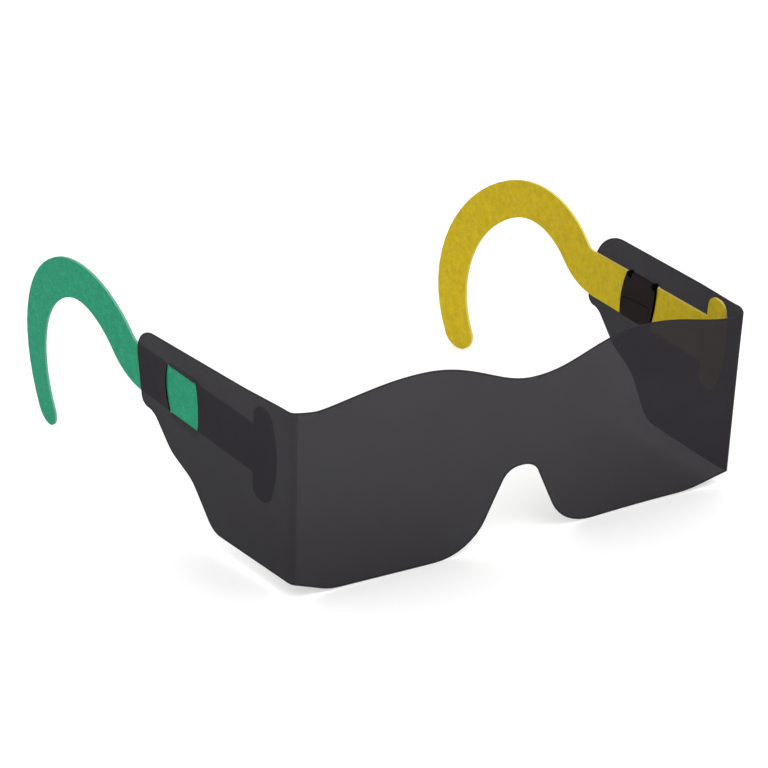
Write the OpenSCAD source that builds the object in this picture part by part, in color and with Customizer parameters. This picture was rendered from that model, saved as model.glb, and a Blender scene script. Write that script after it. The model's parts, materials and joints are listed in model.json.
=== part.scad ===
// Disposable eye shield: one die-cut film folded round the face, and two
// pressboard ear hooks that slide through slits in its side panels.
// The film's two creases stand upright in the wearing frame: x across the face,
// y from the front towards the ears, z up. The whole object then leans forward a
// little, so that it stands on its lower edges and on the two hook tips.
// Each side is drawn flat: u runs back along the ear hook's strip, v runs up
// across it, and w points away from the face. It runs down a little from square
// to the crease, and each hook may tip a little in its slits.

/* [Film] */
// Distance between the two creases
crease_span = 150; // [130:1:170]
// Height of each crease
crease_h = 59.2; // [52:0.2:66]
// Thickness of the film
film_t = 0.3; // [0.2:0.05:0.5]
// Radius of the rounded bead along each crease
bead_r = 0.35; // [0.3:0.05:0.6]
// How far the middle of the front bows forward
front_bow = 1.4; // [1:0.1:8]

/* [Front outline] */
// Height of the brow edge at its two humps
hump_h = 64; // [58:0.5:70]
// Distance of each hump from the middle
hump_x = 36.2; // [30:0.2:42]
// Height of the brow edge in the middle
dip_h = 54; // [48:0.5:58]
// Height of the brow edge at the low place beside each crease
valley_h = 59; // [52:0.1:62]
// Distance of that low place from the crease
valley_in = 8; // [4:1:12]
// Depth of the lower edge below the foot of the crease
lobe_drop = 5.7; // [3:0.1:8]
// Distance from the crease to the outer corner of the lower edge
lobe_in = 11.5; // [8:0.5:16]
// Height of the top of the nose notch
notch_h = 22.6; // [16:0.2:28]
// Half width of the notch at its round top
notch_top = 4.6; // [3:0.2:9]
// Half width of the notch where its sides would meet the lower edge
notch_foot = 16.2; // [11:0.2:20]

/* [Side panels] */
// Length of each side panel
panel_l = 79.4; // [72:0.1:90]
// How far each side runs down towards the ear from square to the crease, in degrees
side_drop = 4.6; // [0:0.1:8]
// Height of the top edge at the rear corner
rear_top = 54.7; // [50:0.1:58]
// Height of the short lower edge at the rear
rear_foot = 25.4; // [22:0.1:28]
// Length of that short lower edge
rear_foot_l = 6.6; // [4:0.1:9]
// Radius of the rear top corner
rear_corner_r = 11; // [4:0.5:14]
// Distance from the crease to the bend of the top edge
top_bend_u = 22; // [10:1:40]
// Height of the top edge at that bend
top_bend_v = 58.2; // [52:0.1:62]
// Distance from the crease to the panel's lowest corner
toe_u = 44.3; // [38:0.1:50]
// Depth of that corner below the foot of the crease
toe_drop = 3.3; // [1:0.1:6]
// Distance from the crease to the hollow of the S-shaped cut
hollow_u = 54.4; // [50:0.1:60]
// Height of that hollow
hollow_v = 10.8; // [8:0.1:14]
// Distance from the crease to the swell of the S-shaped cut
swell_u = 65.6; // [62:0.1:70]
// Height of that swell
swell_v = 16; // [12:0.1:20]
// How far the right side stands open past square to the front
right_splay = 13.5; // [-10:0.1:20]
// How far the left side stands open past square to the front
left_splay = -4; // [-10:0.1:20]

/* [Slits] */
// Distance from the crease to the middle of the front slit
slit_front_u = 46.8; // [40:0.2:50]
// Distance from the crease to the middle of the rear slit
slit_rear_u = 64.4; // [60:0.2:68]
// How far each slit's curve stands out from its ends
slit_sag = 1.5; // [0.5:0.1:2.5]
// Width of each slit
slit_gap = 0.5; // [0.4:0.1:1]
// Radius of the round hole that ends each slit
relief_r = 0.6; // [0.5:0.1:0.9]

/* [Ear hooks] */
// Thickness of the pressboard
board_t = 0.8; // [0.5:0.1:1.2]
// Height of the straight strip
strip_h = 16.6; // [14:0.2:17]
// Height of the strip's middle line
strip_v = 39; // [36:0.1:41]
// Length of the crossbar at the strip's front end
bar_h = 32.6; // [26:0.2:36]
// Width of the crossbar at its ends
bar_end_w = 7.3; // [6:0.1:9]
// Width of the crossbar at its middle, before its front edge is rounded
bar_mid_w = 12.3; // [8:0.1:14]
// Radius of the crossbar's front edge
bar_front_r = 35; // [20:1:60]
// Radius of the crossbar's ends
bar_end_r = 3.5; // [2:0.1:3.6]
// Distance from the crease to the crossbar's rear edge
bar_rear_u = 19.4; // [17:0.1:24]
// How far the crossbar tips forward at its top, in degrees
bar_tilt = 6.3; // [0:0.1:12]
// Distance from the crease to where the hook starts to rise
hook_start = 80.6; // [80:0.2:90]
// Middle radius of the neck, where the hook turns up
neck_r = 13.4; // [10:0.1:18]
// Turn of the neck, in degrees
neck_turn = 49.2; // [40:0.2:60]
// Width of the board at the neck's end
neck_w = 17; // [14:0.1:19]
// Middle radius of the arch over the ear
arch_r = 31.5; // [26:0.5:38]
// Turn of the arch, in degrees
arch_turn = 69.8; // [55:0.2:85]
// Width of the board at the arch's end
arch_w = 13.6; // [11:0.1:16]
// Middle radius of the bend behind the ear
back_r = 46; // [36:0.5:60]
// Turn of that bend, in degrees
back_turn = 42.4; // [30:0.2:60]
// Width of the board at that bend's end
back_w = 13.3; // [11:0.1:16]
// Middle radius of the tail
tail_r = 51; // [36:0.5:70]
// Turn of the tail, in degrees
tail_turn = 46.4; // [30:0.2:60]
// Width of the hook at its tip
tip_w = 13; // [10:0.2:15]
// Radius of the right hook's gentle bend towards the head
right_bend_r = 1280; // [200:10:2000]
// Radius of the left hook's gentle bend towards the head
left_bend_r = 250; // [200:10:2000]
// How far the right hook tips down at its rear in its slits, in degrees
right_dip = -0.5; // [-3:0.1:3]
// How far the left hook tips down at its rear in its slits, in degrees
left_dip = 2.7; // [-3:0.1:3]
// How much further the left hook is pushed in than the right one
left_push = 2.2; // [0:0.1:5]

/* [Clearance] */
// Gap between the strip and the film on each face
slide_gap = 0.06; // [0.04:0.01:0.15]
// Room above and below the strip in a slit
slit_room = 1.5; // [1.3:0.1:2]

/* [Hidden] */
// Angle between the points of a rounded corner
arc_step = 6;
// Distance between the points of the brow curve
brow_step = 3;
half_span = crease_span / 2;
// Radius of the front's bow, through both creases
bow_r = (half_span * half_span + front_bow * front_bow) / (2 * front_bow);
// Middle surface of the board, just inside the film
board_w = -(film_t / 2 + slide_gap + board_t / 2);
// Middle surface of the keeper band, just inside the board
keeper_w = 2 * board_w;
// Most that either hook tips in its slits
max_dip = max(abs(right_dip), abs(left_dip));
// Half height of the keeper band's flat middle: it leaves room for a tipped strip
keeper_half = strip_h / 2 / cos(max_dip) + (slit_rear_u - slit_front_u) / 2 * tan(max_dip) + slide_gap;
// How far the keeper band runs on into the panel beyond the ends of the slits
keeper_root_l = 0.6 * slit_room;
// Half height of the slits
slit_half = strip_h / 2 + slit_room;
// Where the strip begins, inside the crossbar
strip_front_u = bar_rear_u - bar_end_w / 2;
slit_mid_u = (slit_front_u + slit_rear_u) / 2;
// Radius of the slits' curve
slit_r = (slit_half * slit_half + slit_sag * slit_sag) / (2 * slit_sag);
// Point of the crease that each side's drop turns about
drop_centre = [0, crease_h / 2];
// Arcs of the hook's middle line: radius, positive to the left, turn, end width
hook_arcs = [[neck_r, neck_turn, neck_w], [-arch_r, arch_turn, arch_w],
    [-back_r, back_turn, back_w], [-tail_r, tail_turn, tip_w]];
// How far cutting tools run past what they cut
past = 2;
// Facets of a full turn: of a bead, of a relief hole, of a slit's curve, of a wide bow
bead_fn = 48;
hole_fn = 32;
slit_fn = 360;
bow_fn = 1440;
// Corner radii of the front's lower edge: lobe, start of the notch, half its top
lobe_r = 14;
notch_foot_r = 13;
notch_r = 6;
// Corner radii of the side's lower edge and of its top edge's bend
toe_r = 7;
hollow_r = 11;
swell_r = 11;
heel_r = 6;
rear_foot_r = 3;
top_bend_r = 60;

// Rounded outlines
function unit(v) = v / norm(v);
// Points of the arc of radius r that rounds the corner p between a and b
function corner(a, p, b, r) =
    let (
        to_a = unit(a - p),
        to_b = unit(b - p),
        half = acos(to_a * to_b) / 2,
        c = p + unit(to_a + to_b) * r / sin(half),
        s = p + to_a * r / tan(half) - c,
        e = p + to_b * r / tan(half) - c,
        start = atan2(s.y, s.x),
        turn = (atan2(e.y, e.x) - start + 540) % 360 - 180,
        n = ceil(abs(turn) / arc_step)
    )
    [for (i = [0 : n]) c + r * [cos(start + turn * i / n), sin(start + turn * i / n)]];
// Outline through corners given as x, y, radius
function rounded(c) =
    let (n = len(c))
    [for (i = [0 : n - 1])
        let (
            p = [c[i].x, c[i].y],
            a = c[(i + n - 1) % n],
            b = c[(i + 1) % n]
        )
        each c[i].z == 0 ? [p] : corner([a.x, a.y], p, [b.x, b.y], c[i].z)];
// Smooth rise from a to b as t goes from 0 to 1
function ease(a, b, t) = a + (b - a) * (1 - cos(180 * t)) / 2;
// Point p turned clockwise by angle a about c
function turned(p, c, a) =
    c + [(p - c).x * cos(a) + (p - c).y * sin(a), (p - c).y * cos(a) - (p - c).x * sin(a)];

// Front outline
valley_x = half_span - valley_in;
function brow(x) =
    x < hump_x ? ease(dip_h, hump_h, x / hump_x)
    : x < valley_x ? ease(hump_h, valley_h, (x - hump_x) / (valley_x - hump_x))
    : ease(valley_h, crease_h, (x - valley_x) / valley_in);
function flip(points) = [for (i = [len(points) - 1 : -1 : 0]) [-points[i].x, points[i].y]];
function flip_corners(c) = [for (i = [len(c) - 1 : -1 : 0]) [-c[i].x, c[i].y, c[i].z]];
// Lower edge of one half, from the crease to the notch's top
lower_half = [
    [half_span, crease_h, 0],
    [half_span, 0, 0],
    [half_span - lobe_in, -lobe_drop, lobe_r],
    [notch_foot, -lobe_drop, notch_foot_r],
    [notch_top, notch_h, notch_r]];
lower_edge = rounded(concat(lower_half, flip_corners(lower_half)));
brow_n = floor(half_span / brow_step);
brow_half = [for (i = [0 : brow_n - 1]) [i * brow_step, brow(i * brow_step)]];
front_outline = concat(lower_edge, flip([for (i = [1 : brow_n - 1]) brow_half[i]]), brow_half);

// Side outline, in u and v: its first two corners lie on the crease
crease_top = turned([0, crease_h], drop_centre, -side_drop);
crease_foot = turned([0, 0], drop_centre, -side_drop);
side_outline = rounded([
    [crease_top.x, crease_top.y, 0],
    [crease_foot.x, crease_foot.y, 0],
    [toe_u, -toe_drop, toe_r],
    [hollow_u, hollow_v, hollow_r],
    [swell_u, swell_v, swell_r],
    [panel_l - rear_foot_l, rear_foot, heel_r],
    [panel_l, rear_foot, rear_foot_r],
    [panel_l, rear_top, rear_corner_r],
    [top_bend_u, top_bend_v, top_bend_r]]);

// Crossbar outline about the middle of its straight rear edge
bar_outline = rounded([
    [0, -bar_h / 2, bar_end_r],
    [0, bar_h / 2, bar_end_r],
    [-bar_end_w, bar_h / 2, bar_end_r],
    [-bar_mid_w, 0, bar_front_r],
    [-bar_end_w, -bar_h / 2, bar_end_r]]);

// Hook outline, in u and v, from a middle line of tangent arcs
function along(p, r, turn) =
    let (
        c = [p.x - r * sin(p.z), p.y + r * cos(p.z)],
        h = p.z + sign(r) * turn
    )
    [c.x + r * sin(h), c.y - r * cos(h), h];
hook_base = [hook_start, strip_v, 0];
function hook_node(i) =
    i == 0 ? hook_base : along(hook_node(i - 1), hook_arcs[i - 1].x, hook_arcs[i - 1].y);
function hook_width(i) = i == 0 ? strip_h : hook_arcs[i - 1].z;
// Points along the middle line, each with its heading and half width
hook_line = [for (i = [0 : len(hook_arcs) - 1])
    let (n = ceil(hook_arcs[i].y / arc_step))
    for (k = [i == 0 ? 0 : 1 : n])
        let (p = along(hook_node(i), hook_arcs[i].x, hook_arcs[i].y * k / n))
        concat(p, [ease(hook_width(i), hook_width(i + 1), k / n) / 2])];
function beside(p, side) = [p.x - side * p[3] * sin(p.z), p.y + side * p[3] * cos(p.z)];
hook_end = hook_line[len(hook_line) - 1];
hook_outline = concat(
    [for (p = hook_line) beside(p, 1)],
    [for (a = [90 - arc_step : -arc_step : -90 + arc_step])
        [hook_end.x + tip_w / 2 * cos(hook_end.z + a), hook_end.y + tip_w / 2 * sin(hook_end.z + a)]],
    [for (i = [len(hook_line) - 1 : -1 : 0]) beside(hook_line[i], -1)]);

// Where the hook's middle surface lies beyond the start of its bend
function hook_w(u, bend_r) = board_w - bend_r + sqrt(pow(bend_r, 2) - pow(max(u - hook_start, 0), 2));
// A hook's point after it is pushed in by push, tipped by dip and dropped with its side
function set_hook(p, push, dip) =
    turned(turned(p - [push, 0], [slit_mid_u, strip_v], dip), drop_centre, side_drop);
// A point of a side in the wearing frame: side is -1 on the right, 1 on the left
function wear(p, w, splay, side) = [
    side * (half_span + p.x * sin(splay) + w * cos(splay)),
    p.x * cos(splay) - w * sin(splay),
    p.y];

// The lean that brings a hook's tip down to the level of the front's lower edge
foot_y = -front_bow / 2;
function lean_for(splay, side, bend_r, push, dip) =
    let (tip = wear(set_hook([hook_end.x, hook_end.y], push, dip), hook_w(hook_end.x, bend_r),
        splay, side))
    asin(tip_w / 2 / norm([tip.y - foot_y, tip.z + lobe_drop]))
        + atan2(-lobe_drop - tip.z, tip.y - foot_y);
lean = max(lean_for(right_splay, -1, right_bend_r, 0, right_dip),
    lean_for(left_splay, 1, left_bend_r, left_push, left_dip));

// The standing frame: the box of the outlines sets its origin
function leaned(p) = [p.x, p.y * cos(lean) - p.z * sin(lean), p.y * sin(lean) + p.z * cos(lean)];
function bow_y(x) = bow_r - front_bow - sqrt(bow_r * bow_r - x * x);
function hook_points(splay, side, bend_r, push, dip) = [for (p = hook_outline)
    leaned(wear(set_hook(p, push, dip), hook_w(p.x, bend_r) + board_t / 2, splay, side))];
outer_points = concat(
    [for (p = front_outline) leaned([p.x, bow_y(p.x) - film_t / 2, p.y])],
    hook_points(right_splay, -1, right_bend_r, 0, right_dip),
    hook_points(left_splay, 1, left_bend_r, left_push, left_dip),
    [leaned([half_span + bead_r, 0, crease_h])]);
low = [for (i = [0 : 2]) min([for (p = outer_points) p[i]])];
high = [for (i = [0 : 2]) max([for (p = outer_points) p[i]])];
origin = [(low.x + high.x) / 2, (low.y + high.y) / 2, low.z];

module stand() {
    translate(-origin) rotate([lean, 0, 0]) children();
}

// A side's own plane, with its crease upright: x runs back, y outwards, z up
module side_frame(splay, side) {
    stand() mirror([side > 0 ? 1 : 0, 0, 0])
        translate([-half_span, 0, 0]) rotate([0, 0, 90 + splay]) children();
}

// Turns what is drawn in u, w and v about a point of the side's plane
module turn_about(c, a) {
    translate([c.x, 0, c.y]) rotate([0, a, 0]) translate([-c.x, 0, -c.y]) children();
}

// A flat plate of outline u and v, w_mid away from the side's plane
module plate(t, w_mid) {
    translate([0, w_mid + t / 2, 0]) rotate([90, 0, 0]) linear_extrude(t) children();
}

// The bead's round, cut from the films that it joins
module bead_seat() {
    translate([0, 0, -lobe_drop]) cylinder(h = crease_h + 2 * lobe_drop, r = bead_r, $fn = bead_fn);
}

module front_shield() {
    color([0.24, 0.23, 0.25]) stand() difference() {
        intersection() {
            translate([0, past, 0]) rotate([90, 0, 0])
                linear_extrude(front_bow + 2 * past) polygon(front_outline);
            translate([0, bow_r - front_bow, -lobe_drop - past]) difference() {
                cylinder(h = hump_h + lobe_drop + 2 * past, r = bow_r + film_t / 2, $fn = bow_fn);
                translate([0, 0, -past])
                    cylinder(h = hump_h + lobe_drop + 4 * past, r = bow_r - film_t / 2, $fn = bow_fn);
            }
        }
        for (side = [-1, 1])
            translate([side * half_span, 0, 0]) bead_seat();
    }
}

module crease(splay, side) {
    color([0.2, 0.19, 0.21]) side_frame(splay, side)
        cylinder(h = crease_h, r = bead_r, $fn = bead_fn);
}

module right_crease() {
    crease(right_splay, -1);
}

module left_crease() {
    crease(left_splay, 1);
}

// The space between the two curved slits, each grown by grow
module slit_lens(grow) {
    intersection() {
        translate([slit_front_u - grow + slit_r, strip_v]) circle(r = slit_r, $fn = slit_fn);
        translate([slit_rear_u + grow - slit_r, strip_v]) circle(r = slit_r, $fn = slit_fn);
        translate([slit_front_u - past, strip_v - slit_half])
            square([slit_rear_u - slit_front_u + 2 * past, 2 * slit_half]);
    }
}

module relief_holes() {
    for (u = [slit_front_u + slit_sag, slit_rear_u - slit_sag], v = [-slit_half, slit_half])
        translate([u, strip_v + v]) circle(r = relief_r, $fn = hole_fn);
}

// Cross-section of the keeper band, w and v: it dips inwards behind the strip
module keeper_section() {
    end = slit_half + keeper_root_l;
    line = [[0, end], [0, slit_half], [keeper_w, keeper_half],
        [keeper_w, -keeper_half], [0, -slit_half], [0, -end]];
    polygon(concat(
        [for (p = line) p + [film_t / 2, 0]],
        [for (i = [len(line) - 1 : -1 : 0]) line[i] - [film_t / 2, 0]]));
}

// Where the keeper band runs on into the panel, above or below the slits
module keeper_root(up) {
    root_u = slit_front_u + slit_sag + slit_gap / 2;
    translate([root_u, strip_v + up * slit_half - keeper_root_l / 2])
        square([slit_rear_u - slit_front_u - 2 * slit_sag - slit_gap, keeper_root_l]);
}

module side_panel(splay, side) {
    color([0.24, 0.23, 0.25]) side_frame(splay, side) difference() {
        turn_about(drop_centre, side_drop) difference() {
            union() {
                plate(film_t, 0) difference() {
                    polygon(side_outline);
                    slit_lens(slit_gap / 2);
                }
                intersection() {
                    translate([slit_front_u, 0, strip_v]) rotate([90, 0, 90])
                        linear_extrude(slit_rear_u - slit_front_u) keeper_section();
                    plate(4 * board_t, keeper_w / 2) union() {
                        slit_lens(-slit_gap / 2);
                        keeper_root(1);
                        keeper_root(-1);
                    }
                }
            }
            plate(past, 0) relief_holes();
        }
        bead_seat();
    }
}

module right_side_panel() {
    side_panel(right_splay, -1);
}

module left_side_panel() {
    side_panel(left_splay, 1);
}

module ear_hook(splay, side, bend_r, push, dip, shade) {
    reach = 2 * panel_l;
    color(shade) side_frame(splay, side) turn_about(drop_centre, side_drop)
        turn_about([slit_mid_u, strip_v], dip) translate([-push, 0, 0]) union() {
            plate(board_t, board_w) union() {
                translate([bar_rear_u, strip_v]) rotate(bar_tilt) polygon(bar_outline);
                translate([strip_front_u, strip_v - strip_h / 2])
                    square([hook_start - strip_front_u, strip_h]);
            }
            intersection() {
                plate(reach, 0) polygon(hook_outline);
                translate([hook_start, board_w - bend_r, -reach / 2]) difference() {
                    cylinder(h = reach, r = bend_r + board_t / 2, $fn = bow_fn);
                    translate([0, 0, -past])
                        cylinder(h = reach + 2 * past, r = bend_r - board_t / 2, $fn = bow_fn);
                }
            }
        }
}

module right_ear_hook() {
    ear_hook(right_splay, -1, right_bend_r, 0, right_dip, [0.20, 0.62, 0.46]);
}

module left_ear_hook() {
    ear_hook(left_splay, 1, left_bend_r, left_push, left_dip, [0.78, 0.69, 0.13]);
}

front_shield();
right_crease();
left_crease();
right_side_panel();
left_side_panel();
right_ear_hook();
left_ear_hook();
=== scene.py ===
import json
import math
import bpy
import numpy as np
from mathutils import Matrix, Vector
from mathutils.geometry import delaunay_2d_cdt


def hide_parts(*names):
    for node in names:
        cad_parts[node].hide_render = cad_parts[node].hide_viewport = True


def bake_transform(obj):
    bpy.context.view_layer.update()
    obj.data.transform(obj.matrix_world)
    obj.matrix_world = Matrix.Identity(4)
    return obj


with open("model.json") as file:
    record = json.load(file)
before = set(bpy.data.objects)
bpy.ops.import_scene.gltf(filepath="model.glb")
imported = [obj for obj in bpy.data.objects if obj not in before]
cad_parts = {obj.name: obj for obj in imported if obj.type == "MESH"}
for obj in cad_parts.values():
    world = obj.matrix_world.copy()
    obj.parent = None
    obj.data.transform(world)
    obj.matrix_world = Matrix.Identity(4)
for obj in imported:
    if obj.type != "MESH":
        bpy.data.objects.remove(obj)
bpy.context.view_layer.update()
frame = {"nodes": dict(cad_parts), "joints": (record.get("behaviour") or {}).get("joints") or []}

# Lengths are in millimetres unless they say metres. The film is first drawn flat: s runs
# along it, from 0 at the crease to the rear and below 0 towards the middle, and h runs up
MM_PER_M = 1000
# The wearer's two sides. Tables with a row for each side have the same keys
SIDES = {-1: "right", 1: "left"}

# Sizes of the film, as in the CAD
HALF_SPAN = 75.0
CREASE_H = 59.2
FILM_T = 0.3
HUMP_H, HUMP_X, DIP_H = 64.0, 36.2, 54.0
SIDE_DROP = math.radians(4.6)
SPLAY = {-1: math.radians(13.5), 1: math.radians(-4)}

# The hook's strip, as in the CAD: half its width, the height and length of the point about
# which it is turned down at the rear, and the angle of that turn. Along the strip, a is the
# length from the crease, and t the height from its middle
STRIP_HALF = 8.3
STRIP_V, SLIT_MID_U = 39.0, 55.6
STRIP_TURN = {-1: math.radians(-0.5), 1: math.radians(2.7)}

# The two sides as the photograph shows them, each a little off the CAD's plain one. The
# front's low corners are x from the middle, height and radius, and the side panel's are
# length from the crease, height and radius, before the panel is dropped at the rear
FRONT_LOW = {
    -1: [(5.0, 21.9, 6), (16.8, -6.1, 18), (63.5, -5.2, 14)],
    1: [(3.9, 21.9, 6), (15.7, -5.7, 16), (62.5, -5.5, 30)],
}
SIDE_CORNERS = {
    -1: [(44.3, -3.3, 7), (54.4, 10.8, 11), (65.6, 16, 11), (74.0, 26.6, 6),
         (80.6, 26.6, 3), (80.6, 54.6, 11), (22, 57.9, 60), (4.3, 59.5, 90)],
    1: [(44.3, -3.3, 7), (54.4, 10.8, 11), (65.6, 16, 11), (75.6, 25.9, 6),
        (82.0, 25.6, 3), (76.6, 55.7, 17), (22, 58.0, 60), (6, 58.2, 20)],
}
# The brow's small rises as x and height, its valley beside the crease, and the power of x
# with which it climbs from there
TOP_RISE = {
    -1: ((0, -0.2), (17, 0.75), (38, -0.5), (59, 0.45), (70, 0)),
    1: ((0, -0.2), (8, -0.3), (24, 0.3), (36, 0), (54, 0.3), (70, 0)),
}
VALLEY = {-1: (67.0, 59.0), 1: (69.5, 58.5)}
CLIMB_POWER = 1.6
# The crease's foot and top, as distance in from the half span and height
CREASE = {-1: ((0.7, -0.3), (1.25, 60.2)), 1: ((-0.75, -0.95), (2.83, 59.3))}

# Each slit's line, front then rear, is a = p + q t + r tt. Both sides' slits share a foot
SLITS = {
    -1: ((47.2, -0.072, 0.0174), (65.0, -0.03, -0.018)),
    1: ((43.1, -0.214, 0.0102), (61.2, -0.211, -0.0167)),
}
SLIT_FOOT = -8.5
SLIT_TOP = {-1: 9.05, 1: 8.6}

# The film's soft forms: where each side's curve into the fold has its middle and its end,
# the keeper's depth and the height in which it dips, and the lift beside a slit
CURVE_MID, CURVE_END = {-1: 0.9, 1: 4.2}, {-1: 2.4, 1: 7.0}
KEEPER_DEPTH, KEEPER_RISE = 1.22, 0.1
SLIT_LIFT, LIFT_REACH = 0.25, 3.0
# The front's gentle warp, forwards: terms in 1, x, z, xz, zz and xx, where x runs to the
# wearer's left as a share of the half span, and z is a share of this height
WARP = (-0.46, -1.52, -2.89, 3.39, 3.43, -1.94)
WARP_H = 59

# The keeper's marks: painted shadow at its lips by the two slits and in the dots at its top
# corners (in from the slits, up, radius), and the fine line across it (heights at the two
# slits, half its width, and how far in from them it shows)
LIP_FRONT, LIP_REAR = 0.8, 0.35
SHADOW_DOT_IN_FRONT, SHADOW_DOT_IN_REAR, SHADOW_DOT_UP, SHADOW_DOT_R = 1.4, 1.7, 7.9, 1.35
LINE_FRONT, LINE_REAR, LINE_HALF = -0.1, -1.4, 0.14
LINE_IN_FRONT, LINE_IN_REAR = 1.6, 1.4

# The mesh of the film: its steps along the edge, in its plain parts and round an arc (in
# radians), and its number of points along a brow
EDGE_STEP, GRID_STEP, ARC_STEP = 1.5, 2.5, 0.15
BROW_POINTS = 51
# Distances from the fold of the points beside it, and the heights between which they stand
FOLD_ROWS = (-2.4, -1.2, -0.5, -0.2, 0, 0.2, 0.5, 1, 1.6, 2.4, 3.4, 4.6, 5.8, 7.2, 8.8, 10.6, 12.8)
FOLD_LOW, FOLD_HIGH = 0.5, 60
# The keeper's rows: their heights, apart from the two rows at each end, the pieces in a
# row, of which those farther than END_FROM from the middle have more, and the distances
# at which a row goes on outside its slits
ROW_LOW, ROW_HIGH, ROW_STEP = -7.6, 7.8, 0.95
ROW_PIECES, END_PIECES, END_FROM = 12, 48, 8
BESIDE_SLIT = (0.8, 1.8, 3.2)
# Points round a painted shadow dot, and those along the fine line: their step, and how far in
# from the lips they start
SHADOW_DOT_POINTS, LINE_STEP, LINE_IN = 16, 0.8, 0.6
# The plain grid's lower and rear limits, and the stretch about the fold that it leaves out
GRID_LOW, GRID_REAR = -12, 82
GRID_GAP = (-4.5, 14)
# Least distances: of marks from the keeper's top rows, of row points from marks, of grid
# points from both, of all of these from the edge, from the margin's row and from a slit,
# and of the margin's row from the seam in the middle
CLEAR_TOP, CLEAR_MARKS, CLEAR_ROWS = 0.3, 0.25, 1.3
CLEAR_EDGE, CLEAR_MARGIN, CLEAR_SLIT, CLEAR_SEAM = 0.9, 0.4, 0.2, 0.3
# Points nearer than TOUCH coincide, and a triangle whose area is under half of it is left
# out. The triangulation merges points nearer than MERGE
TOUCH, MERGE = 1e-3, 1e-5
# Half the step with which the film's direction is measured
PROBE = 0.1

# A face that rises more than this is shaded flat
STEEP = 0.3
# Width of the darker margin along the die-cut edge. The middle of each of its triangles
# lies within MARGIN_MIDDLE of the edge
MARGIN = 0.5
MARGIN_MIDDLE = 0.72 * MARGIN

# The film's finishes, by their place in the list below: name, colour, opacity and
# specular level
FACE, CUT_AND_SHADOW, SHADE, EDGE, SHADED_SIDE = range(5)
SMOKE = (0.0345, 0.0315, 0.037)
FINISHES = [
    ("smoke_film", SMOKE, 0.84, 0.006),
    # Opaque black: the slits' cut edges and the keeper's fine line, and painted shadow at its
    # lips, its dots and the gap over the strip
    ("smoke_film_cut_and_shadow", (0.003, 0.003, 0.003), 1.0, 0.0),
    # Painted shade: a darker, duller copy of the film for the shaded keeper
    ("smoke_film_keeper_painted_shade", (0.027, 0.0215, 0.021), 0.84, 0.004),
    ("smoke_film_margin", (0.033, 0.03, 0.0355), 0.93, 0.006),
    # Painted shade: a less see-through copy of the film that darkens the side panels
    ("smoke_film_side_shade", SMOKE, 0.88, 0.006),
]
# The tint's clouds and its painted shade towards the foot, as shares of its colour, and the
# direction along which the painted shade deepens, from one height to the other in metres
CLOUD_SHARE, PAINTED_SHADE_SHARE = 0.9, 0.72
PAINTED_SHADE_UP, PAINTED_SHADE_TOP, PAINTED_SHADE_FOOT = (0.3, 0, 1), 0.055, 0.005
# Each side's board: its material's name and its tone
BOARDS = {
    -1: ("green_pressboard", (0.019, 0.31, 0.168)),
    1: ("yellow_pressboard", (0.645, 0.473, 0.010)),
}

# The camera, from the photograph's outlines: metres, in the frame of the CAD
CAMERA_AT = Vector((-0.21588, -0.50463, 0.27168))
CAMERA_RIGHT = Vector((0.90637, -0.41996, -0.0462))
CAMERA_UP = Vector((0.20838, 0.34923, 0.91357))
CAMERA_NEAR = 0.01
LENS_MM = 85.13
SENSOR_MM = 36

# The studio, in metres and watts: the white world's strength as light and as it is seen,
# half the floor's width, its tone and its glow, and the lamp's place, aim, width and power
WORLD_LIGHT, WORLD_SEEN = 0.95, 1.0
FLOOR_HALF, FLOOR_TONE, FLOOR_GLOW = 3.0, 0.9, 0.16
LAMP_AT, LAMP_AIM = Vector((0.1, -0.7, 1.1)), Vector((0, 0, 0.03))
LAMP_SIZE, LAMP_POWER = 0.9, 6.5

# The wearing frame: x across, y back, z up the creases, from between their feet
JOINTS = {joint["name"]: joint for joint in frame["joints"]}
UP = Vector(JOINTS["right_fold"]["axis"]).normalized()
ACROSS = Vector((1, 0, 0))
BACK = UP.cross(ACROSS)
FOLD_MIDDLES = [Vector(JOINTS[name]["pos_m"]) for name in ("right_fold", "left_fold")]
FOOT = (FOLD_MIDDLES[0] + FOLD_MIDDLES[1]) / 2 - UP * CREASE_H / 2 / MM_PER_M


def placed(x, y, z):
    """The wearing frame's point, in metres in the frame of the CAD."""
    return FOOT + (ACROSS * x + BACK * y + UP * z) / MM_PER_M


def ease(a, b, t):
    """From a to b while t goes from 0 to 1, level at both ends."""
    return a + (b - a) * (1 - math.cos(math.pi * t)) / 2


def smooth(t):
    """From 0 to 1 while t does, level at both ends and beyond them."""
    t = min(max(t, 0.0), 1.0)
    return t * t * (3 - 2 * t)


def fold_in(side, h):
    """How far the fold lies in from the half span at the height h."""
    (foot, foot_h), (top, top_h) = CREASE[side]
    return foot + (top - foot) * min(max((h - foot_h) / (top_h - foot_h), 0), 1)


def small_rise(side, x):
    """The brow's height over its plain form, at the distance x from the middle."""
    for (a, low), (b, high) in zip(TOP_RISE[side], TOP_RISE[side][1:]):
        if a <= x < b:
            return ease(low, high, (x - a) / (b - a))
    return 0.0


def brow(side, x):
    """Height of the front's top edge at the distance x from the middle."""
    valley_x, valley_h = VALLEY[side]
    if x < HUMP_X:
        return small_rise(side, x) + ease(DIP_H, HUMP_H, x / HUMP_X)
    if x < valley_x:
        share = (x - HUMP_X) / (valley_x - HUMP_X)
        return small_rise(side, x) + ease(HUMP_H, valley_h, share)
    top_in, top_h = CREASE[side][1]
    share = (x - valley_x) / (HALF_SPAN - top_in - valley_x)
    return valley_h + (top_h - valley_h) * share ** CLIMB_POWER


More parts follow.
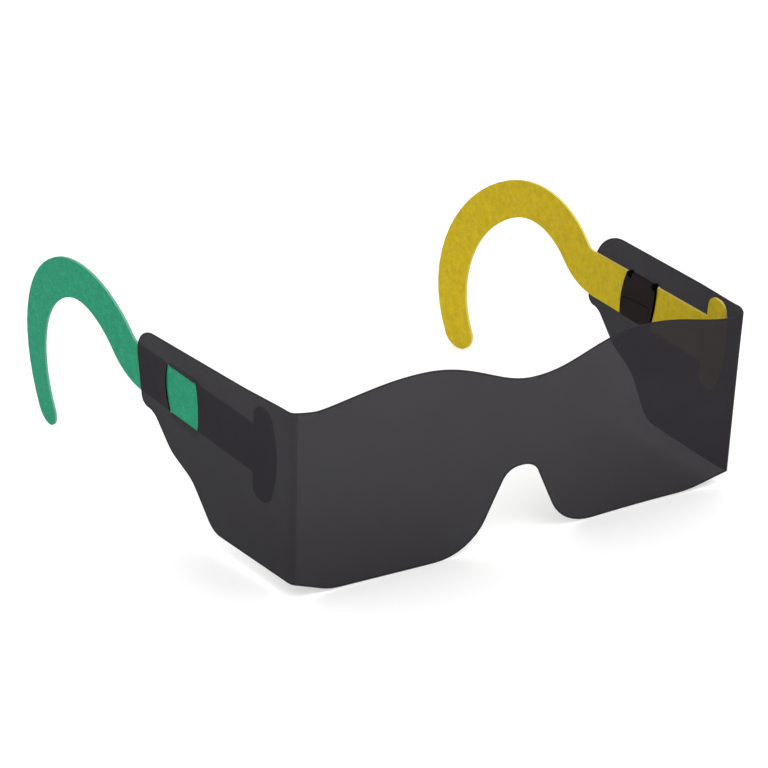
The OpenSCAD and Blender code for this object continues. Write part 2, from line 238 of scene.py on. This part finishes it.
def corner(a, p, b, radius):
    """Points of the arc that rounds the corner p between a and b."""
    a, p, b = Vector(a), Vector(p), Vector(b)
    to_a, to_b = (a - p).normalized(), (b - p).normalized()
    half = math.acos(to_a.dot(to_b)) / 2
    centre = p + (to_a + to_b).normalized() * radius / math.sin(half)
    s = p + to_a * radius / math.tan(half) - centre
    e = p + to_b * radius / math.tan(half) - centre
    start = math.atan2(s.y, s.x)
    turn = (math.atan2(e.y, e.x) - start + 3 * math.pi) % (2 * math.pi) - math.pi
    n = max(2, math.ceil(abs(turn) / ARC_STEP))
    return [(centre.x + radius * math.cos(start + turn * i / n),
             centre.y + radius * math.sin(start + turn * i / n)) for i in range(n + 1)]


def rounded(corners):
    """The open line through corners given as x, y and radius."""
    line = []
    for i, (x, y, radius) in enumerate(corners):
        if radius == 0:
            line.append((x, y))
        else:
            line += corner(corners[i - 1][:2], (x, y), corners[i + 1][:2], radius)
    return line


def turned(p, centre, angle):
    """A point of a side turned down at the rear by the angle."""
    u, v = p[0] - centre[0], p[1] - centre[1]
    c, s = math.cos(angle), math.sin(angle)
    return centre[0] + u * c + v * s, centre[1] + v * c - u * s


def dropped(u, v):
    """The flat film's point at the length u and height v of a side that isn't dropped."""
    return turned((u, v), (0, CREASE_H / 2), SIDE_DROP)


def from_strip(side, a, t):
    """The flat film's point at the length a and height t of the hook's strip."""
    return dropped(*turned((a, STRIP_V + t), (SLIT_MID_U, STRIP_V), STRIP_TURN[side]))


def to_strip(side, s, h):
    """Length and height along the hook's strip of the flat film's point."""
    p = turned((s, h), (0, CREASE_H / 2), -SIDE_DROP)
    a, v = turned(p, (SLIT_MID_U, STRIP_V), -STRIP_TURN[side])
    return a, v - STRIP_V


def stepped(line, step):
    """The line with points added, so that none of its pieces is longer than step."""
    out = []
    for a, b in zip(line, line[1:]):
        n = max(1, math.ceil(math.dist(a, b) / step))
        out += [(a[0] + (b[0] - a[0]) * i / n, a[1] + (b[1] - a[1]) * i / n) for i in range(n)]
    return out + [line[-1]]


def half_outline(side):
    """Outline of one half of the flat film, from the foot of the seam in its middle."""
    (foot_in, foot_h), (top_in, top_h) = CREASE[side]
    seam_foot = (0, FRONT_LOW[side][0][1], 0)
    low = rounded([seam_foot] + FRONT_LOW[side] + [(HALF_SPAN - foot_in, foot_h, 0)])
    low = [(x - HALF_SPAN, z) for x, z in low]
    corners = [(*dropped(u, v), radius) for u, v, radius in SIDE_CORNERS[side]]
    panel = rounded([(-foot_in, foot_h, 0)] + corners + [(-top_in, top_h, 0)])
    along_brow = np.linspace(HALF_SPAN - top_in, 0, BROW_POINTS)
    top = [(x - HALF_SPAN, brow(side, x)) for x in along_brow]
    return stepped(low + panel[1:] + top[1:] + [low[0]], EDGE_STEP)[:-1]


def slit(side, t, front):
    """Length along the strip at which its front or rear slit lies at the height t."""
    p, q, r = SLITS[side][0 if front else 1]
    return p + q * t + r * t * t


def slit_rows(side):
    """Heights of the mesh's rows across the keeper."""
    top = SLIT_TOP[side]
    rows = np.arange(ROW_LOW, ROW_HIGH, ROW_STEP).tolist()
    return [SLIT_FOOT, SLIT_FOOT + KEEPER_RISE] + rows + [top - KEEPER_RISE, top]


def in_keeper(side, a, t):
    return SLIT_FOOT < t < SLIT_TOP[side] and slit(side, t, True) < a < slit(side, t, False)


def on_slit(side, a, t):
    return min(abs(a - slit(side, t, front)) for front in (True, False)) < TOUCH


def shadow_dots(side):
    """Lengths along the strip of the keeper's two painted shadow dots."""
    return slit(side, SHADOW_DOT_UP, True) + SHADOW_DOT_IN_FRONT, slit(side, SHADOW_DOT_UP, False) - SHADOW_DOT_IN_REAR


def in_shadow_dot(side, a, t):
    return any(math.hypot(a - shadow_dot, t - SHADOW_DOT_UP) < SHADOW_DOT_R for shadow_dot in shadow_dots(side))


def line_height(side, a):
    """Height of the fine line across the keeper."""
    front, rear = slit(side, 0, True), slit(side, 0, False)
    return LINE_FRONT + (LINE_REAR - LINE_FRONT) * (a - front) / (rear - front)


def inside(points, polygon):
    """Whether each point lies in the polygon, by crossings."""
    x, y = points[:, 0], points[:, 1]
    hit = np.zeros(len(points), bool)
    for (ax, ay), (bx, by) in zip(polygon, np.roll(polygon, -1, 0)):
        if ay == by:
            continue
        hit ^= ((ay > y) != (by > y)) & (x < (bx - ax) * (y - ay) / (by - ay) + ax)
    return hit


def clear_of(points, line, gap):
    """Whether each point is farther than the gap from all the points of the line."""
    line = np.array(line)
    return np.array([np.min(np.hypot(*(line - p).T)) > gap for p in points])


def mark_points(side):
    """Points along the strip that draw the keeper's shadow dots and line, clear of its top rows.
    """
    marks = []
    for a in shadow_dots(side):
        for k in range(SHADOW_DOT_POINTS):
            turn = math.tau * k / SHADOW_DOT_POINTS
            marks.append((a + SHADOW_DOT_R * math.cos(turn), SHADOW_DOT_UP + SHADOW_DOT_R * math.sin(turn)))
    start = slit(side, 0, True) + LIP_FRONT + LINE_IN
    end = slit(side, 0, False) - LIP_REAR - LINE_IN
    for a in np.arange(start, end, LINE_STEP):
        marks += [(a, line_height(side, a) + d) for d in (-LINE_HALF, LINE_HALF)]
    low, high = SLIT_TOP[side] - KEEPER_RISE - CLEAR_TOP, SLIT_TOP[side] + CLEAR_TOP
    return [(a, t) for a, t in marks if not low < t < high]


def row_points(side):
    """Points along the strip, in rows across the keeper and a little beyond its slits."""
    points = []
    for t in slit_rows(side):
        front, rear = slit(side, t, True), slit(side, t, False)
        points += [(front - d, t) for d in BESIDE_SLIT]
        points += [(rear + d, t) for d in BESIDE_SLIT]
        points += [(front + LIP_FRONT, t), (rear - LIP_REAR, t)]
        n = ROW_PIECES if abs(t) < END_FROM else END_PIECES
        points += [(front + (rear - front) * k / n, t) for k in range(1, n)]
    return points


def grid_points(side):
    """Points of the plain grid, apart from the stretch about the fold."""
    points = []
    for s in np.arange(-HALF_SPAN + GRID_STEP, GRID_REAR, GRID_STEP):
        for h in np.arange(GRID_LOW, HUMP_H, GRID_STEP):
            if not GRID_GAP[0] < s + fold_in(side, h) < GRID_GAP[1]:
                points.append((s, h))
    return np.array(points)


def margin_points(outline):
    """A row of points inside the outline, a margin's width from it."""
    line = np.array(outline)
    run = np.roll(line, -1, 0) - np.roll(line, 1, 0)
    run /= np.hypot(*run.T)[:, None]
    row = line + MARGIN * np.stack([-run[:, 1], run[:, 0]], 1)
    return row[row[:, 0] > -HALF_SPAN + CLEAR_SEAM].tolist()


def inner_points(side, outline, slits):
    """Points inside the half film: fine across the fold and the keeper, even elsewhere."""
    heights = np.arange(FOLD_LOW, FOLD_HIGH, EDGE_STEP)
    fold = [(d - fold_in(side, h), h) for h in heights for d in FOLD_ROWS]
    marks = mark_points(side)
    rows = np.array(row_points(side))
    rows = rows[clear_of(rows, marks, CLEAR_MARKS)].tolist() + marks
    rows = [from_strip(side, a, t) for a, t in rows]
    grid = grid_points(side)
    grid = grid[clear_of(grid, rows, CLEAR_ROWS)]
    margin = margin_points(outline)
    points = np.array(fold + rows + grid.tolist())
    points = points[inside(points, outline)]
    points = points[clear_of(points, outline, CLEAR_EDGE)]
    points = points[clear_of(points, margin, CLEAR_MARGIN)]
    points = points[clear_of(points, slits, CLEAR_SLIT)]
    return points.tolist() + margin


def twice_area(p, q, r):
    return abs((q[0] - p[0]) * (r[1] - p[1]) - (q[1] - p[1]) * (r[0] - p[0]))


def flat_film(side):
    """Points and triangles of the flat half film, which keep to its slits, and its outline."""
    outline = half_outline(side)
    slits = [[from_strip(side, slit(side, t, front), t) for t in slit_rows(side)]
             for front in (True, False)]
    points = outline + slits[0] + slits[1] + inner_points(side, outline, slits[0] + slits[1])
    n = len(outline)
    edges = [(i, (i + 1) % n) for i in range(n)]
    for k, line in enumerate(slits):
        first = n + k * len(line)
        edges += [(first + i, first + i + 1) for i in range(len(line) - 1)]
    flat, _, faces, _, _, _ = delaunay_2d_cdt([Vector(p) for p in points], edges, [], 0, MERGE)
    flat = np.array(flat)
    faces = [list(face) for face in faces]
    outline = np.array(outline)
    in_film = inside(np.array([flat[face].mean(0) for face in faces]), outline)
    faces = [face for face, keep in zip(faces, in_film) if keep]
    return flat, [face for face in faces if twice_area(*flat[face]) >= TOUCH], outline


def rise(side, a, t, keeper):
    """How far the film stands out from its side's plane near the slits."""
    top = SLIT_TOP[side]
    if keeper:
        return -KEEPER_DEPTH * smooth(min(top - t, t - SLIT_FOOT) / KEEPER_RISE)
    if not SLIT_FOOT < t < top:
        return 0.0
    away = max(slit(side, t, True) - a, a - slit(side, t, False), 0)
    lift = SLIT_LIFT * math.cos(math.pi / 2 * t / top) ** 2
    return lift * math.exp(-((away / LIFT_REACH) ** 2))


def keeper_finish(side, a, t):
    """The keeper's inner finish: painted shadow at its lips and dots, black on its line, painted
    shade elsewhere.
    """
    if in_shadow_dot(side, a, t):
        return CUT_AND_SHADOW
    from_front, from_rear = a - slit(side, t, True), slit(side, t, False) - a
    if from_front < LIP_FRONT or from_rear < LIP_REAR:
        return CUT_AND_SHADOW
    by_line = abs(t - line_height(side, a)) < LINE_HALF
    if by_line and from_front > LINE_IN_FRONT and from_rear > LINE_IN_REAR:
        return CUT_AND_SHADOW
    return SHADE


def edge_distance(edge, s, h):
    """Distance of the flat film's point from the line through the edge's points."""
    start, run = edge[:-1], edge[1:] - edge[:-1]
    share = ((s - start[:, 0]) * run[:, 0] + (h - start[:, 1]) * run[:, 1]) / (run ** 2).sum(1)
    nearest = start + np.clip(share, 0, 1)[:, None] * run
    return np.hypot(nearest[:, 0] - s, nearest[:, 1] - h).min()


def finishes_at(side, s, h, edge):
    """The film's outer and inner finish at a point of the flat film."""
    a, t = to_strip(side, s, h)
    if in_keeper(side, a, t):
        # Above the strip's top edge the outer face is opaque black: a painted shadow of the gap
        # between strip and film
        outer = CUT_AND_SHADOW if t > STRIP_HALF else SHADE
        return outer, keeper_finish(side, a, t)
    # The side panels take the less see-through copy of the film: painted shade
    face = SHADED_SIDE if s > -fold_in(side, h) else FACE
    # A painted shadow dot on the inner face, where a dot reaches past the keeper
    if in_shadow_dot(side, a, t):
        return face, CUT_AND_SHADOW
    if edge_distance(edge, s, h) < MARGIN_MIDDLE:
        return EDGE, EDGE
    return face, face


def film_mesh(side):
    """The half film's vertices as s, h and rise, its triangles and their finishes.

    The vertices are doubled along the slits, where the keeper parts from the panel."""
    flat, faces, outline = flat_film(side)
    edge = outline[outline[:, 0] > -HALF_SPAN + TOUCH]
    verts, index, tris, finishes = [], {}, [], []
    for face in faces:
        middle = flat[face].mean(0)
        keeper = in_keeper(side, *to_strip(side, *middle))
        tri = []
        for i in face:
            a, t = to_strip(side, *flat[i])
            parted = SLIT_FOOT + TOUCH < t < SLIT_TOP[side] - TOUCH and on_slit(side, a, t)
            key = (i, keeper and parted)
            if key not in index:
                index[key] = len(verts)
                verts.append((*flat[i], rise(side, a, t, keeper)))
            tri.append(index[key])
        tris.append(tri)
        finishes.append(finishes_at(side, *middle, edge))
    return verts, tris, finishes


def rim_edges(verts, tris):
    """Edges of the film that belong to one triangle, apart from the seam in its middle."""
    used = {}
    for tri in tris:
        for a, b in zip(tri, tri[1:] + tri[:1]):
            used.setdefault(frozenset((a, b)), []).append((a, b))
    rim = [found[0] for found in used.values() if len(found) == 1]
    return [(a, b) for a, b in rim if max(verts[a][0], verts[b][0]) > -HALF_SPAN + TOUCH]


def warp(side, x, z):
    """How far the front stands forward of the plane through its creases."""
    a, b = side * x / HALF_SPAN, z / WARP_H
    terms = (1, a, b, a * b, b * b, a * a)
    return (1 - a * a) * sum(k * term for k, term in zip(WARP, terms))


def section(side, s, h):
    """The folded film at the height h, seen from above: x from the middle, y back."""
    fold = HALF_SPAN - fold_in(side, h)
    hinge = Vector((HALF_SPAN, 0))
    along = Vector((math.sin(SPLAY[side]), math.cos(SPLAY[side])))
    if HALF_SPAN + s <= fold:
        return Vector((HALF_SPAN + s, -warp(side, HALF_SPAN + s, h)))
    if s >= CURVE_END[side]:
        return hinge + along * s
    start = Vector((fold, -warp(side, fold, h)))
    mid, end = hinge + along * CURVE_MID[side], hinge + along * CURVE_END[side]
    q = (HALF_SPAN + s - fold) / (HALF_SPAN + CURVE_END[side] - fold)
    return start * (1 - q) ** 2 + mid * 2 * q * (1 - q) + end * q * q


def film_point(side, s, h, out):
    """A point of the folded film, out from its middle surface, in metres."""
    run = (section(side, s + PROBE, h) - section(side, s - PROBE, h)).normalized()
    p = section(side, s, h) + Vector((run.y, -run.x)) * out
    return placed(side * p.x, p.y, h)


def thick_film(side):
    """Corners, faces, finishes and smooth marks of the half film with its thickness."""
    verts, tris, finishes = film_mesh(side)
    outer = [film_point(side, s, h, lift + FILM_T / 2) for s, h, lift in verts]
    inner = [film_point(side, s, h, lift - FILM_T / 2) for s, h, lift in verts]
    n = len(verts)
    corners, faces, slots, smooth_marks = outer + inner, [], [], []
    for tri, finish in zip(tris, finishes):
        lifts = [verts[i][2] for i in tri]
        faces += [tri, [n + i for i in reversed(tri)]]
        slots += finish
        smooth_marks += 2 * [bool(max(lifts) - min(lifts) < STEEP)]
    for a, b in rim_edges(verts, tris):
        first = len(corners)
        corners += [outer[a], outer[b], inner[b], inner[a]]
        faces.append([first, first + 3, first + 2, first + 1])
        slots.append(CUT_AND_SHADOW if on_slit(side, *to_strip(side, *verts[a][:2])) else EDGE)
        smooth_marks.append(False)
    if side < 0:
        faces = [face[::-1] for face in faces]
    return corners, faces, slots, smooth_marks


def make_film(name, side, nodes, materials):
    """One half of the film, built folded from the front round to its side, in place of the CAD's
    front, crease and side panel, which it hides.
    """
    corners, faces, slots, smooth_marks = thick_film(side)
    mesh = bpy.data.meshes.new(name)
    mesh.from_pydata(corners, [], faces)
    for mat in materials:
        mesh.materials.append(mat)
    mesh.polygons.foreach_set("use_smooth", smooth_marks)
    mesh.polygons.foreach_set("material_index", slots)
    mesh.update()
    film = bpy.data.objects.new(name, mesh)
    bpy.context.scene.collection.objects.link(film)
    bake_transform(film)
    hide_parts(*nodes)


def material(name):
    mat = bpy.data.materials.new(name)
    mat.use_nodes = True
    mat.node_tree.nodes.clear()
    return mat, mat.node_tree


def add(tree, kind, inputs=(), **settings):
    """A new node. Each input is a socket to link, or the value to set."""
    node = tree.nodes.new(kind)
    for key, value in settings.items():
        setattr(node, key, value)
    for key, value in dict(inputs).items():
        if isinstance(value, bpy.types.NodeSocket):
            tree.links.new(value, node.inputs[key])
        else:
            node.inputs[key].default_value = value
    return node


def maths(tree, operation, *values):
    node = add(tree, "ShaderNodeMath", dict(enumerate(values)), operation=operation)
    return node.outputs[0]


def dot(tree, vector, direction):
    node = add(tree, "ShaderNodeVectorMath", {0: vector, 1: direction}, operation="DOT_PRODUCT")
    return node.outputs["Value"]


def noise(tree, size, detail=3.0, roughness=0.5):
    """Noise in the object's own space, with size as its waves per metre along each axis."""
    where = add(tree, "ShaderNodeTexCoord").outputs["Object"]
    at = add(tree, "ShaderNodeMapping", {"Vector": where, "Scale": size}).outputs[0]
    inputs = {"Vector": at, "Scale": 1.0, "Detail": detail, "Roughness": roughness}
    return add(tree, "ShaderNodeTexNoise", inputs).outputs["Fac"]


def spread(tree, value, low, high, to_low=0.0, to_high=1.0):
    """The value's range from low to high, moved to the range from to_low to to_high."""
    return add(tree, "ShaderNodeMapRange", {
        "Value": value, "From Min": low, "From Max": high,
        "To Min": to_low, "To Max": to_high}).outputs[0]


def between(tree, share, a, b):
    """Colour a where share is 0, and b where it is 1."""
    mix = add(tree, "ShaderNodeMix", {0: share}, data_type="RGBA")
    for socket, colour in ((6, a), (7, b)):
        if isinstance(colour, bpy.types.NodeSocket):
            tree.links.new(colour, mix.inputs[socket])
        else:
            mix.inputs[socket].default_value = (*colour, 1)
    return mix.outputs[2]


def shaded(share, tone):
    """The tone with each of its parts multiplied by the share."""
    return tuple(share * c for c in tone)


def towards(tone, share, light):
    """The tone moved by the share of its way to the light grey."""
    return tuple(c + share * (light - c) for c in tone)


def surface(tree, inputs):
    shader = add(tree, "ShaderNodeBsdfPrincipled", inputs)
    out = add(tree, "ShaderNodeOutputMaterial")
    tree.links.new(shader.outputs[0], out.inputs["Surface"])


def film_material(name, tone, alpha, level):
    """Smoke-grey film: a clouded tint, painted shade that darkens it downwards, fine rub marks and
    a ripple.
    """
    mat, tree = material(name)
    cloud = noise(tree, (55, 55, 55), detail=2)
    rubs = noise(tree, (260, 260, 3200), detail=4, roughness=0.6)
    ripple = noise(tree, (38, 38, 22), detail=1)
    tint = between(tree, spread(tree, cloud, 0.35, 0.65), shaded(CLOUD_SHARE, tone), tone)
    # Painted shade: the film's colour darkens towards its foot
    up = dot(tree, add(tree, "ShaderNodeTexCoord").outputs["Object"], PAINTED_SHADE_UP)
    low = spread(tree, up, PAINTED_SHADE_TOP, PAINTED_SHADE_FOOT)
    surface(tree, {
        "Base Color": between(tree, low, tint, shaded(PAINTED_SHADE_SHARE, tone)),
        "Roughness": spread(tree, rubs, 0.35, 0.75, to_low=0.24, to_high=0.34),
        "IOR": 1.52,
        "Specular IOR Level": level,
        "Alpha": alpha,
        "Normal": add(tree, "ShaderNodeBump", {
            "Height": ripple, "Strength": 0.25, "Distance": 0.0012}).outputs[0],
    })
    return mat


def board_material(name, tone, side):
    """Dyed pressboard: mottled, with fibres lying all ways, and a paler cut edge."""
    mat, tree = material(name)
    blotch = noise(tree, (420, 420, 420), detail=3, roughness=0.6)
    grain = noise(tree, (2300, 2300, 2300), detail=4, roughness=0.7)
    long_fibre = noise(tree, (500, 500, 3600), detail=3, roughness=0.6)
    cross_fibre = noise(tree, (500, 3600, 700), detail=3, roughness=0.6)
    fibres = maths(tree, "MAXIMUM", long_fibre, cross_fibre)
    deep, dark = shaded(0.78, tone), shaded(0.6, tone)
    pale, cut = towards(tone, 0.15, 1), towards(tone, 0.12, 0.9)
    colour = between(tree, spread(tree, blotch, 0.3, 0.7), deep, tone)
    colour = between(tree, spread(tree, fibres, 0.56, 0.74, to_high=0.45), colour, pale)
    colour = between(tree, spread(tree, grain, 0.42, 0.28, to_high=0.5), colour, dark)
    out = ACROSS * side * math.cos(SPLAY[side]) - BACK * math.sin(SPLAY[side])
    normal = add(tree, "ShaderNodeTexCoord").outputs["Normal"]
    facing = maths(tree, "ABSOLUTE", dot(tree, normal, out))
    colour = between(tree, spread(tree, facing, 0.75, 0.45), colour, cut)
    surface(tree, {
        "Base Color": colour,
        "Roughness": spread(tree, grain, 0.3, 0.7, to_low=0.8, to_high=0.95),
        "IOR": 1.45,
        "Specular IOR Level": 0.15,
        "Normal": add(tree, "ShaderNodeBump", {
            "Height": maths(tree, "ADD", grain, fibres),
            "Strength": 0.35, "Distance": 0.0002}).outputs[0],
    })
    return mat


def dress(node, mat):
    """Gives the CAD node's mesh its material."""
    mesh = frame["nodes"][node].data
    mesh.materials.clear()
    mesh.materials.append(mat)


def floor_material():
    """White paper that glows a little to the camera and in reflections, and lights nothing."""
    mat, tree = material("floor_paper")
    lit = add(tree, "ShaderNodeBsdfDiffuse", {"Color": (FLOOR_TONE, FLOOR_TONE, FLOOR_TONE, 1)})
    path = add(tree, "ShaderNodeLightPath").outputs
    seen = maths(tree, "MAXIMUM", path["Is Camera Ray"], path["Is Glossy Ray"])
    seen = maths(tree, "MAXIMUM", seen, path["Is Transmission Ray"])
    glow = maths(tree, "MULTIPLY", seen, FLOOR_GLOW)
    glow = add(tree, "ShaderNodeEmission", {"Color": (1, 1, 1, 1), "Strength": glow})
    both = add(tree, "ShaderNodeAddShader", {0: lit.outputs[0], 1: glow.outputs[0]})
    out = add(tree, "ShaderNodeOutputMaterial")
    tree.links.new(both.outputs[0], out.inputs["Surface"])
    return mat


def make_floor():
    corners = [(-1, -1), (1, -1), (1, 1), (-1, 1)]
    corners = [(x * FLOOR_HALF, y * FLOOR_HALF, 0) for x, y in corners]
    mesh = bpy.data.meshes.new("floor")
    mesh.from_pydata(corners, [], [(0, 1, 2, 3)])
    mesh.materials.append(floor_material())
    floor = bpy.data.objects.new("floor", mesh)
    bpy.context.scene.collection.objects.link(floor)


def make_world():
    world = bpy.data.worlds.new("studio")
    bpy.context.scene.world = world
    world.use_nodes = True
    tree = world.node_tree
    tree.nodes.clear()
    seen = add(tree, "ShaderNodeLightPath").outputs["Is Camera Ray"]
    strength = spread(tree, seen, 0, 1, WORLD_LIGHT, WORLD_SEEN)
    sky = add(tree, "ShaderNodeBackground", {"Color": (1, 1, 1, 1), "Strength": strength})
    out = add(tree, "ShaderNodeOutputWorld")
    tree.links.new(sky.outputs[0], out.inputs["Surface"])


def make_lamp():
    lamp = bpy.data.lights.new("key", "AREA")
    lamp.shape = "SQUARE"
    lamp.size = LAMP_SIZE
    lamp.energy = LAMP_POWER
    obj = bpy.data.objects.new("key", lamp)
    turn = (LAMP_AT - LAMP_AIM).to_track_quat("Z", "Y").to_matrix().to_4x4()
    obj.matrix_world = Matrix.Translation(LAMP_AT) @ turn
    bpy.context.scene.collection.objects.link(obj)


def make_camera():
    cam = bpy.data.cameras.new("camera")
    cam.lens = LENS_MM
    cam.sensor_width = SENSOR_MM
    cam.clip_start = CAMERA_NEAR
    obj = bpy.data.objects.new("camera", cam)
    back = CAMERA_RIGHT.cross(CAMERA_UP)
    turn = Matrix((CAMERA_RIGHT, CAMERA_UP, back)).transposed().to_4x4()
    obj.matrix_world = Matrix.Translation(CAMERA_AT) @ turn
    bpy.context.scene.collection.objects.link(obj)
    bpy.context.scene.camera = obj


film_materials = [film_material(*finish) for finish in FINISHES]
for side, word in SIDES.items():
    nodes = ["front_shield", word + "_crease", word + "_side_panel"]
    make_film(word + "_film", side, nodes, film_materials)
    dress(word + "_ear_hook", board_material(*BOARDS[side], side))

make_floor()
make_world()
make_lamp()
make_camera()
bpy.context.scene.view_settings.view_transform = "Standard"
